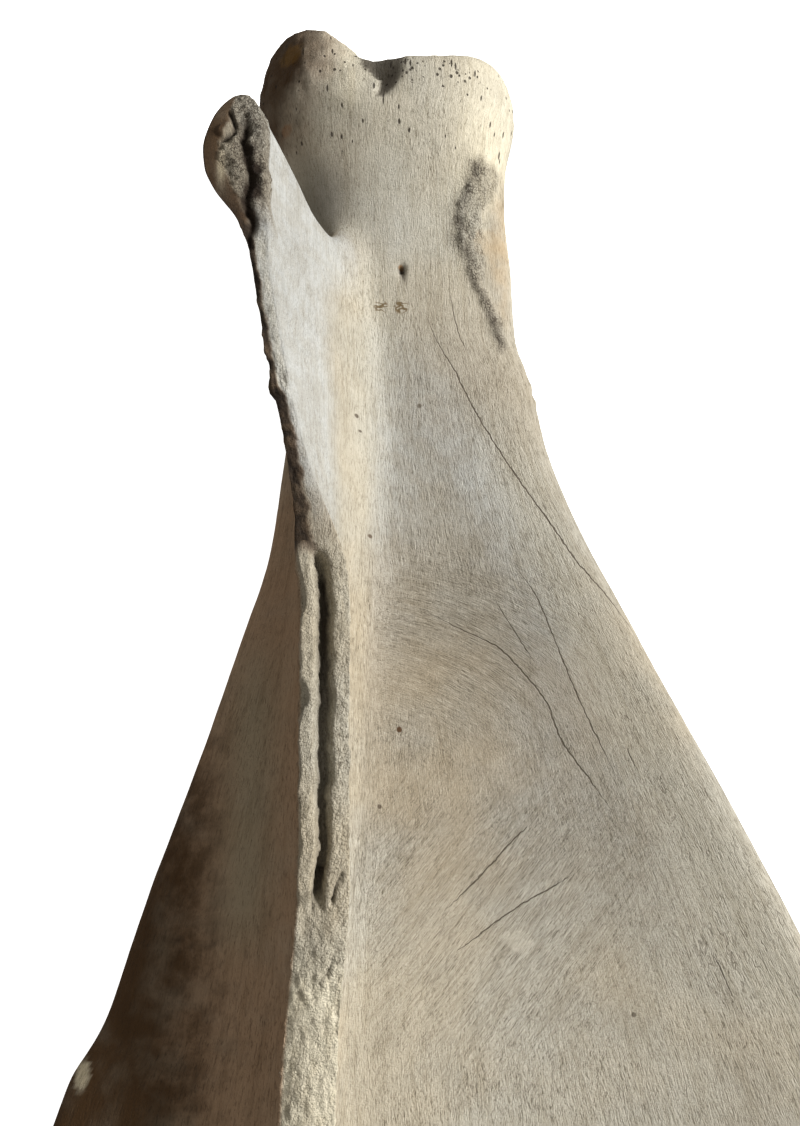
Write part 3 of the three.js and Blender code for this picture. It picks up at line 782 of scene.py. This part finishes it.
# Painted highlight on the pitted flank left of the rim's notch, which turns to the lamp.
flank_highlight = bell(x + 13, 5) * fall(s, 12, 20) * outer
neck_light = fall(s, 30, 100) * off_spine
upper_light = ease(s, 185, 225) * fall(x, 58, 76) * off_spine
olive = bell(x + 33, 6) * ease(s, 140, 165) * fall(s, 203, 222) * before
pale_corner = ease(patch(-67, 1.7, 239, 3.4) + 0.15 * fine_grain, 0.25, 0.8)
# Painted highlight: a pale oval on the acromion's left side, in place of a small face turned to the lamp.
pale_oval_highlight = patch(-38, 0.8, 57.3, 3.4) * acromion
sharp_crest = ease(s, 60, 74) * fall(s, 126, 138) * ease(across, -0.5, 0.1)
cool_wall = on_spine * (1 - near_crest * (1 - sharp_crest)) * ease(from_wall, -0.5, 0.8)
cool_wall = cool_wall * fall(s, 105, 150)
wall_foot = 0.3 * ease(s, 52, 76)
cool_wall = cool_wall * ease(wall_share, wall_foot - 0.08, wall_foot + 0.22)
# Painted highlight on the lower wall of the spine, which turns to the lamp.
foot_cream_highlight = on_spine * fall(wall_share, wall_foot, wall_foot + 0.3) * ease(from_wall, -0.5, 0.8)
foot_cream_highlight = foot_cream_highlight * ease(s, 50, 66)
# The crest's right side, towards the lamp, is painted lighter: painted highlight.
crest_right = thin_crest * ease(across, -0.6, 0) * fall(s, 103, 112)
# The cream gathers the painted highlights of the flank, the wall's foot and the crest's right side.
cream_and_highlight = cream_and_highlight + 0.12 * foot_cream_highlight + 0.7 * flank_highlight + upper_crest
cream_and_highlight = cream_and_highlight + 0.3 * channel_part + 0.3 * crest_right
cream_and_highlight = unit(cream_and_highlight * (1 - 0.55 * ridge_zone) * (1 - 0.95 * plateau))
cool_band = bell(from_spine - 11, 7) * bell(s - 112, 40) * off_spine
cool_neck = patch(-2.5, 7, 42, 11) + 0.4 * patch(8, 26, 85, 35) + 0.6 * patch(36, 12, 155, 25)
cool_neck = cool_neck + bell(x - 22 - 0.4 * (s - 115), 7) * bell(s - 115, 26)
cool_neck = cool_neck * off_spine
# Painted highlight on the fillet at the foot of the spine, which turns to the lamp.
foot_highlight = bell(from_spine - 7, 6.5) * ease(s, 46, 64) * fall(s, 100, 150) * (1 - near_crest)
# Painted highlight along the rounded rear border.
border_highlight = bell(rear_x - x - 11, 9) * ease(s, 80, 110)
streaked = bell(rear_x - x - 7, 13) * ease(s, 120, 180) * off_spine
rough = bare_acromion * (1 - flake) + 0.35 * channel_part + 0.3 * thin_crest + 0.32 * upper_crest
rough = unit(rough) + 0.6 * ridge_zone + 0.3 * smudge_and_shadow + 0.25 * tubercle_part
rough = rough + 0.5 * bell(from_ridge - 0.3, 1.5) * ridge_reach * on_outer_neck + top_border
pitted = 0.5 * bell(s - 5.5, 3.4) * ease(x, -8, 0) * (1 - 0.8 * ease(x, 15, 24))
pitted = pitted + 0.13 * fall(s, 16, 38) + 0.18 * tubercle_part
stain_and_shade = stain_and_shade * (1 - pale_corner) * (1 - 0.9 * pale_oval_highlight)
# Brown stain with painted shade, soil with painted shade, and pitting.
store("stains_and_shade", stain_and_shade, unit(soil_and_shade), unit(pitted) * outer)
cool = cool_wall + 0.9 * crest_right + 0.45 * cool_band + 0.6 * cool_neck
# Cream with painted highlights, the cool tint, and roughness.
store("tints_and_highlights", cream_and_highlight, unit(cool), unit(rough))
# Pale tone of the neck and the upper blade, with painted highlights at the foot of the spine, along the rear
# border and on the crest's right side.
pale_tone_and_highlight = np.maximum(0.9 * neck_light * (1 - 0.7 * cream_and_highlight), 0.5 * upper_light)
pale_tone_and_highlight = pale_tone_and_highlight + 0.25 * ease(x, 40, 90) * off_spine
pale_tone_and_highlight = pale_tone_and_highlight * (1 - 0.4 * ridge_zone) * (1 - 0.7 * plateau) + 0.5 * foot_highlight + 0.7 * border_highlight
pale_tone_and_highlight = pale_tone_and_highlight + 0.25 * cool_wall + 0.15 * channel_part + 0.35 * upper_crest + 0.6 * crest_right
# Deep brown with painted shade, the tan plateau, and pale tone with painted highlights.
store("depths", unit(deep_stain_and_shade), plateau, unit(pale_tone_and_highlight))
store("shade", patch(22, 22, 143, 25) * off_spine)
store("marks", olive, np.maximum(pale_corner, pale_oval_highlight), streaked)
print("rough vertices:", int((rough > 0.5).sum()))

# %% Cracks
LONG_CRACK = [
    (64.7, 6.2), (72.7, 9.1), (80.7, 13.5), (88.4, 17), (97.3, 21.7), (108.7, 28.6), (117.4, 34.3),
    (128.5, 41.3), (137.9, 48.7), (147, 55),
]
MIDDLE_CRACK = [
    (139.3, 4.2), (144.1, 13.1), (148.5, 22.3), (153.1, 27), (161.3, 33.3), (168.9, 36), (178.7, 42.5),
    (185.8, 47.2),
]
SIDE_CRACK = [(136.4, 21.6), (140.4, 23.8), (146.2, 27.2), (152.4, 30.9)]
REAR_CRACK = [(128.2, 26.2), (137.3, 32), (147.6, 35.8), (161.4, 41), (172.3, 45.7), (179.6, 49)]
LOWER_SWEEP = [(187.1, 29.8), (191.4, 24.8), (196.5, 20), (206.3, 9.8)]
UPPER_SWEEP = [(198.1, 38.2), (201.8, 32.1), (205.6, 25), (215.1, 11.4)]
NECK_CRACK = [(59.1, 12.5), (69.9, 14.3), (75.8, 16.7)]
EDGE_CRACK = [(213.9, 66.4), (224.8, 70.5)]
LOOSE_CRACK = [(170.4, 50.4), (176.2, 52.5)]


def crack(knots, half_width):
    """(x - f(s)) / w, where the half width w is full in the middle of the crack and closes at both
    ends, and the slope of the line is taken out so that the width is square to it."""
    line = through(knots)
    low, high = knots[0][0], knots[-1][0]
    t = unit((s - low) / (high - low))
    slope = line(s + 0.5) - line(s - 0.5)
    width = half_width * np.sqrt(1 + slope**2) * np.clip(6 * t * (1 - t), 0.02, 1)
    outside = np.maximum(low - s, 0) + np.maximum(s - high, 0)
    on_outer = 40 * (1 - outer)
    return np.clip((x - line(s)) / width + 40 * np.sign(x - line(s)) * (outside + on_outer), -60, 60)


store("cracks_a", crack(LONG_CRACK, 0.17), crack(MIDDLE_CRACK, 0.17), crack(REAR_CRACK, 0.13))
store("cracks_b", crack(LOWER_SWEEP, 0.16), crack(SIDE_CRACK, 0.1), crack(NECK_CRACK, 0.1))
store("cracks_c", crack(UPPER_SWEEP, 0.13), crack(EDGE_CRACK, 0.1), crack(LOOSE_CRACK, 0.1))

# %% Into the frame, in metres
low, high = points.min(0), points.max(0)
shift = np.append((bone_low + bone_high)[:2] / 2 - (low + high)[:2] / 2, 0)
mesh.vertices.foreach_set("co", ((points + shift) * MM).ravel())
mesh.update()
mesh.shade_smooth()
print("shift, mm:", np.round(shift, 2), "box, mm:", np.round(high - low, 1))
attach(bone, "root")
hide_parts("scapula")

# %% [markdown]
# Weathered dry bone
#
# Dry bone is a rough, matt, warm grey solid with no coat or sheen. It could be painted by hand, but
# patterns keep their real size at every distance, so its look comes from layers of them: a base tint
# that drifts between warm and cool, cream and pale tones with painted highlights on faces that turn to
# the lamp, brown stain with painted shade on the sides away from it, soil with painted shade in the
# hollows, thin fibres along the grain, small dark pores, cracks, and a few rust spots. One function
# adds a node with its settings and links, a short list names the kinds of node, and each layer is a
# short cell.

# %% Colours, and one function for nodes
def linear(code):
    """A hex sRGB colour as linear RGBA."""
    parts = np.array([int(code[i : i + 2], 16) for i in (0, 2, 4)]) / 255
    lit = np.where(parts <= 0.04045, parts / 12.92, ((parts + 0.055) / 1.055) ** 2.4)
    return (*lit.tolist(), 1.0)


def material(name):
    made = bpy.data.materials.new(name)
    made.use_nodes = True
    return made, made.node_tree, made.node_tree.nodes["Principled BSDF"]


bone_material, tree, surface = material("weathered dry bone")
KINDS = {
    "plus": ("Math", {"operation": "ADD"}),
    "minus": ("Math", {"operation": "SUBTRACT"}),
    "times": ("Math", {"operation": "MULTIPLY"}),
    "times_plus": ("Math", {"operation": "MULTIPLY_ADD"}),
    "absolute": ("Math", {"operation": "ABSOLUTE"}),
    "larger": ("Math", {"operation": "MAXIMUM"}),
    "below": ("Math", {"operation": "LESS_THAN"}),
    "moved": ("VectorMath", {"operation": "ADD"}),
    "stretched": ("VectorMath", {"operation": "MULTIPLY"}),
    "distance": ("VectorMath", {"operation": "DISTANCE"}),
    "step": ("MapRange", {"interpolation_type": "SMOOTHSTEP"}),
    "blend": ("Mix", {"data_type": "RGBA"}),
    "darken": ("Mix", {"data_type": "RGBA", "blend_type": "MULTIPLY"}),
    "noise": ("TexNoise", {}),
}


def node(kind, *values, out=None, **more):
    """Adds one node. The values go to its open sockets in order, and a capitalised name is a socket
    too: the output of another node is linked there, and a plain value is set. Other names are the
    node's settings. It gives back the first open output, or the one that out names, or all."""
    kind, settings = KINDS.get(kind, (kind, {}))
    made = tree.nodes.new("ShaderNode" + kind)
    for key, value in {**settings, **more}.items():
        if key[0].islower():
            setattr(made, key, value)
    pairs = list(zip([socket for socket in made.inputs if socket.enabled], values))
    pairs += [(made.inputs[key], value) for key, value in more.items() if key[0].isupper()]
    for socket, value in pairs:
        if isinstance(value, bpy.types.NodeSocket):
            tree.links.new(value, socket)
        else:
            socket.default_value = value
    outputs = [socket for socket in made.outputs if socket.enabled]
    return outputs if out == "all" else made.outputs[out] if out else outputs[0]


def stored(name):
    """The three numbers that the vertices hold under a name."""
    return node("SeparateXYZ", node("Attribute", attribute_name=name, out="Vector"), out="all")


def per(size_mm):
    """The scale of a pattern whose features are about size_mm across, on coordinates in metres."""
    return 1 / (size_mm * MM)


def crossing(value, far, near):
    """1 on the thin lines where a noise crosses one half, and 0 off them."""
    return node("step", node("absolute", node("minus", value, 0.5)), far, near)


def layer(mask, amount, code, kind="blend"):
    """The colour so far under another one, which is as strong as mask times amount."""
    return node(kind, node("times", mask, amount), colour, linear(code))


place = node("TexCoord", out="Object")

# %% [markdown]
# Fibres
#
# The grain attributes are in millimetres, across and along. They are bent a little by noise, then
# squeezed, so that the noise is under a millimetre across and several long. The three directions are
# mixed by their zones. The same fibres drive colour and bump, which an image would have to hold twice.

# %% Fibre noise
BEND_SIZE, BEND_BY = 3.5, (0.16, 0.6, 0.2)
CURL_WIDTH, CURL_LENGTH = 0.75, 1.3
zones = stored("grain_zones")
grain_gain = node("Attribute", attribute_name="grain_gain", out="Fac")
waver = node("noise", place, per(BEND_SIZE), 1.0, out="Color")
waver = node("stretched", node("moved", waver, (-0.5, -0.5, -0.5)), BEND_BY)
bent = {
    name: node("moved", node("Attribute", attribute_name=name, out="Vector"), waver)
    for name in ("grain_fan", "grain_arc", "grain_sweep")
}


def fibres(name, across_mm, along_mm, *texture):
    """Noise squeezed along one of the grain directions. texture is its detail and roughness."""
    squeezed = node("stretched", bent[name], (1 / across_mm, 1 / along_mm, 1 / across_mm))
    return node("noise", squeezed, 1.0, *texture)


def all_fibres(across_mm, along_mm, *texture):
    """The fan's fibres, at half their width where the fan opens out, mixed with both curls. A mix of
    noises is flatter than each, so the stored gain 1 / sqrt(sum of squared weights) restores it."""
    curl = (CURL_WIDTH * across_mm, CURL_LENGTH * along_mm, *texture)
    wide = fibres("grain_fan", across_mm, along_mm, *texture)
    mixed = node("Mix", zones[2], wide, fibres("grain_fan", across_mm / 2, along_mm, *texture))
    mixed = node("Mix", zones[0], mixed, fibres("grain_arc", *curl))
    mixed = node("Mix", zones[1], mixed, fibres("grain_sweep", *curl))
    return node("times_plus", node("minus", mixed, 0.5), grain_gain, 0.5)


fine_fibres = all_fibres(0.24, 2.0, 2, 0.7)
broad_fibres = all_fibres(1.3, 18, 2, 0.6)
craze_noise = all_fibres(0.9, 12, 1.2, 0.45)
hairline_noise = all_fibres(2.4, 40, 1, 0.4)
grit = node("noise", place, per(0.6), 3, 0.75)
between_grains = node("step", node("TexVoronoi", place, per(0.55)), 0.4, 0.7)

# %% Base tints, painted highlights and painted shade
stains_and_shade, tints_and_highlights, depths, marks = (stored(name) for name in ("stains_and_shade", "tints_and_highlights", "depths", "marks"))
SOIL_AND_SHADE, HUMUS = "2b2015", "463b2e"
drift = node("step", node("noise", place, per(34), 3), 0.36, 0.64)
mottle = node("step", node("noise", place, per(5), 5, 0.65), 0.32, 0.68)
colour = node("blend", drift, linear("a59a86"), linear("a09c91"))
# Cream, with painted highlights on faces that turn to the lamp.
colour = layer(tints_and_highlights[0], 0.85, "dcd4bc")
colour = layer(tints_and_highlights[1], 0.9, "abafb1")
colour = layer(node("step", mottle, 0, 1, 0, 0.3), 1.0, "847b69")
tan_patches = node("step", node("noise", place, per(9), 2), 0.35, 0.65)
colour = layer(node("times", depths[1], tan_patches), 0.55, "a78f6c")
shade = node("Attribute", attribute_name="shade", out="Fac")
colour = layer(shade, 0.5, "cfc9bf", "darken")
# Pale tone, with painted highlights on faces that turn to the lamp.
colour = layer(depths[2], 0.5, "dad6c6")
# Brown for the stain, deeper where it is also painted shade.
brown_depth = node("step", node("times_plus", mottle, 0.3, depths[0]), 0.1, 1.1)
brown = node("blend", brown_depth, linear("a78c72"), linear("4b3419"))
brown = node("blend", node("times", marks[0], 0.7), brown, linear("9c937d"))
stain_edge = node("step", node("noise", place, per(9), 4), 0.2, 0.6, 0.8, 1.0)
# Brown stain, and painted shade on the sides away from the lamp.
colour = node("blend", node("times", stains_and_shade[0], stain_edge), colour, brown)
# A pale corner in the hollow, and a painted highlight on the acromion.
colour = layer(marks[1], 0.8, "c4b89c")

# %% Fibres, crazing and grit in the colour
calm = node("times_plus", stains_and_shade[0], 0.3, node("times", tints_and_highlights[1], 0.3))
strength = node("times", node("minus", 1.0, calm), node("minus", 1.0, node("times", tints_and_highlights[0], 0.45)))
strength = node("times", strength, node("step", node("noise", place, per(20), 2), 0.36, 0.64, 0.65, 1.15))
dark_fibres = node("step", fine_fibres, 0.47, 0.33)
light_fibres = node("times", node("step", fine_fibres, 0.54, 0.68), node("minus", 1.0, stains_and_shade[0]))
craze_patches = node("step", node("noise", place, per(16), 3), 0.3, 0.7, 0.15, 0.55)
hairline_patches = node("step", node("noise", place, per(11), 2), 0.42, 0.6, 0, 0.6)
craze = node("times", crossing(craze_noise, 0.035, 0.006), craze_patches)
craze = node("larger", craze, node("times", crossing(hairline_noise, 0.014, 0.004), hairline_patches))
colour = layer(node("times", dark_fibres, strength), 0.7, "928c7f", "darken")
colour = layer(node("times", light_fibres, strength), 0.2, "ebe5d6")
colour = layer(node("step", broad_fibres, 0.45, 0.68, 0, 0.28), 1.0, "c0b8a7", "darken")
colour = layer(node("times", craze, strength), node("times_plus", marks[2], 0.25, 0.45), "4f4538")
grain_patches = node("step", node("noise", place, per(3), 2), 0.35, 0.6, 0.4, 1.0)
between_grains = node("times", between_grains, node("times", tints_and_highlights[2], grain_patches))
colour = layer(between_grains, 0.7, HUMUS)
colour = layer(node("step", grit, 0.42, 0.28), node("times_plus", tints_and_highlights[2], 0.45, 0.35), HUMUS)

# %% Pits: sparse cells of a Voronoi pattern, longer along the bone
PIT_CELL = 1.3


def pit_field(lengthen, radius, share, least, moved_by):
    """Dots in the cells whose random colour is below share * (stored pitting - least). Their radius
    is 0.35 to 1.35 times radius, as a share of the cell."""
    longer = node("stretched", place, (1.0, 1 / lengthen, 1.0))
    cells = node("TexVoronoi", node("moved", longer, (moved_by, 0, 0)), per(PIT_CELL), out="all")
    red, green, _ = node("SeparateColor", cells[1], out="all")
    chosen = node("below", red, node("times", node("minus", stains_and_shade[2], least), share))
    wide = node("times_plus", green, radius, 0.35 * radius)
    return node("times", node("step", cells[0], wide, node("times", wide, 0.5)), chosen)


pits = node("larger", pit_field(1.1, 0.34, 2.2, 0.15, 0.0), pit_field(4.5, 0.26, 1.6, 0.0, 0.7))
colour = layer(pits, 0.85, SOIL_AND_SHADE)

# %% Cracks
jitter = node("times", node("minus", node("noise", place, per(1.6), 3), 0.5), 5.0)
cracks = 0.0
for name in ("cracks_a", "cracks_b", "cracks_c"):
    for offset in stored(name):
        near = node("absolute", node("plus", offset, jitter))
        cracks = node("larger", cracks, node("step", near, 1.4, 0.5))
colour = layer(cracks, 0.85, "4a3f31")

# %% Spots of rust and soil: x, station, radius, colour and strength
SPOTS = [
    (0, 168, 0.75, "4a3016", 0.95), (-4.3, 184.9, 0.6, "3c2c1d", 0.8), (49.3, 227, 0.7, "3c2c1d", 0.7),
    (4.8, 89.8, 0.8, "4a3d2c", 0.7), (-10.2, 94.8, 0.6, "3c2c1d", 0.8), (-9.3, 98.4, 0.6, "3c2c1d", 0.8),
    (-6.8, 123.7, 0.7, "4a3622", 0.8), (-29, 15.9, 2.0, "8a5a2a", 0.4), (-27.8, -3, 4.0, "7a5a24", 0.6),
    (25.7, 212.3, 3.6, "cfc9ba", 0.3), (24, 44.8, 5.6, "a98f68", 0.3), (0.3, 52.7, 0.9, "8a5f24", 0.8),
]
to_frame = shift * MM
seen_from_above = node("stretched", place, (1.0, 1.0, 0.0))
for x_mm, s_mm, radius_mm, code, amount in SPOTS:
    centre = (x_mm * MM + to_frame[0], -s_mm * MM + to_frame[1], 0.0)
    away = node("distance", seen_from_above, centre)
    wobble = node("minus", node("noise", place, per(2.5)), 0.5)
    away = node("times_plus", wobble, radius_mm * MM, away)
    colour = layer(node("step", away, radius_mm * MM, radius_mm * 0.5 * MM), amount, code)
# Soil, and painted shade in the hollows, creases and on sides away from the lamp.
colour = layer(stains_and_shade[1], 1.0, SOIL_AND_SHADE)

# %% A few ochre scratches below the feeding hole
SCRATCHES = Sizes(xs=(-4.6, 0.4), s=63.7, z=28.3, inner=1.4, outer=2.2)
scratch = crossing(node("noise", node("stretched", place, (0.55, 1.0, 0.0)), per(1.7), 1), 0.06, 0.02)
outside = 1.0
for x_mm in SCRATCHES.xs:
    centre = (x_mm * MM + to_frame[0], -SCRATCHES.s * MM + to_frame[1], SCRATCHES.z * MM)
    away = node("distance", place, centre)
    away = node("step", away, SCRATCHES.inner * MM, SCRATCHES.outer * MM)
    outside = node("times", outside, away)
colour = layer(node("times", scratch, node("minus", 1.0, outside)), 0.85, "5f4a24")

# %% The surface
surface.inputs["Roughness"].default_value = 0.78
surface.inputs["IOR"].default_value = 1.5
surface.inputs["Specular IOR Level"].default_value = 0.3
tree.links.new(colour, surface.inputs["Base Color"])
height = node("times", fine_fibres, node("times_plus", tints_and_highlights[0], -0.14, 0.3))
height = node("plus", height, node("times", grit, node("times_plus", tints_and_highlights[2], 0.9, 0.3)))
craze_depth = node("times_plus", marks[2], 0.2, 0.12)
for mask, depth in ((between_grains, 0.35), (craze, craze_depth), (cracks, 0.25), (pits, 0.5)):
    height = node("minus", height, node("times", mask, depth))
bump = node("Bump", Height=height, Distance=1 * MM, Strength=0.9)
tree.links.new(bump, surface.inputs["Normal"])
bone.data.materials.append(bone_material)
print("bone material:", len(tree.nodes), "nodes")

# %% [markdown]
# Table, light and camera
#
# The photograph has low daylight from the right, which rakes over the fibres and leaves the hollow in
# front of the spine in shade, over a plain white ground. A large soft lamp low on the right and a
# weak sky give the same. The camera looks down at the bone from its head end.

# %% Table
table_material, _, table_surface = material("white board")
table_surface.inputs["Base Color"].default_value = linear("ffffff")
table_surface.inputs["Roughness"].default_value = 0.9
table_surface.inputs["Emission Color"].default_value = linear("ffffff")
table_surface.inputs["Emission Strength"].default_value = 1.0
table_mesh = bpy.data.meshes.new("table")
REACH = 3.0
corners = [(-REACH, -REACH, 0), (REACH, -REACH, 0), (REACH, REACH, 0), (-REACH, REACH, 0)]
table_mesh.from_pydata(corners, [], [(0, 1, 2, 3)])
table_mesh.materials.append(table_material)
table = bpy.data.objects.new("table", table_mesh)
table.visible_diffuse = False
table.visible_glossy = False
bpy.context.scene.collection.objects.link(table)

# %% Light
LAMP_AT, LAMP_AIM = Vector((1.75, 0.25, 0.95)), Vector((0, 0, 0.02))
lamp_data = bpy.data.lights.new("window", "AREA")
lamp_data.size, lamp_data.energy = 0.6, 70
lamp_data.color = linear("fffdfa")[:3]
lamp = bpy.data.objects.new("window", lamp_data)
lamp.location = LAMP_AT
lamp.rotation_euler = (LAMP_AIM - LAMP_AT).to_track_quat("-Z", "Y").to_euler()
bpy.context.scene.collection.objects.link(lamp)
world = bpy.data.worlds.new("sky")
world.use_nodes = True
sky = world.node_tree.nodes["Background"]
sky.inputs["Color"].default_value = linear("f2ece2")
sky.inputs["Strength"].default_value = 0.41
bpy.context.scene.world = world
bpy.context.scene.view_settings.view_transform = "Standard"

# %% Camera
TILT = np.radians(20)
camera_data = bpy.data.cameras.new("camera")
camera_data.lens = 35
camera_data.sensor_width = 36
camera = bpy.data.objects.new("camera", camera_data)
camera.location = (-0.01834, -0.05092, 0.262)
camera.rotation_euler = (TILT, 0, 0)
bpy.context.scene.collection.objects.link(camera)
bpy.context.scene.camera = camera
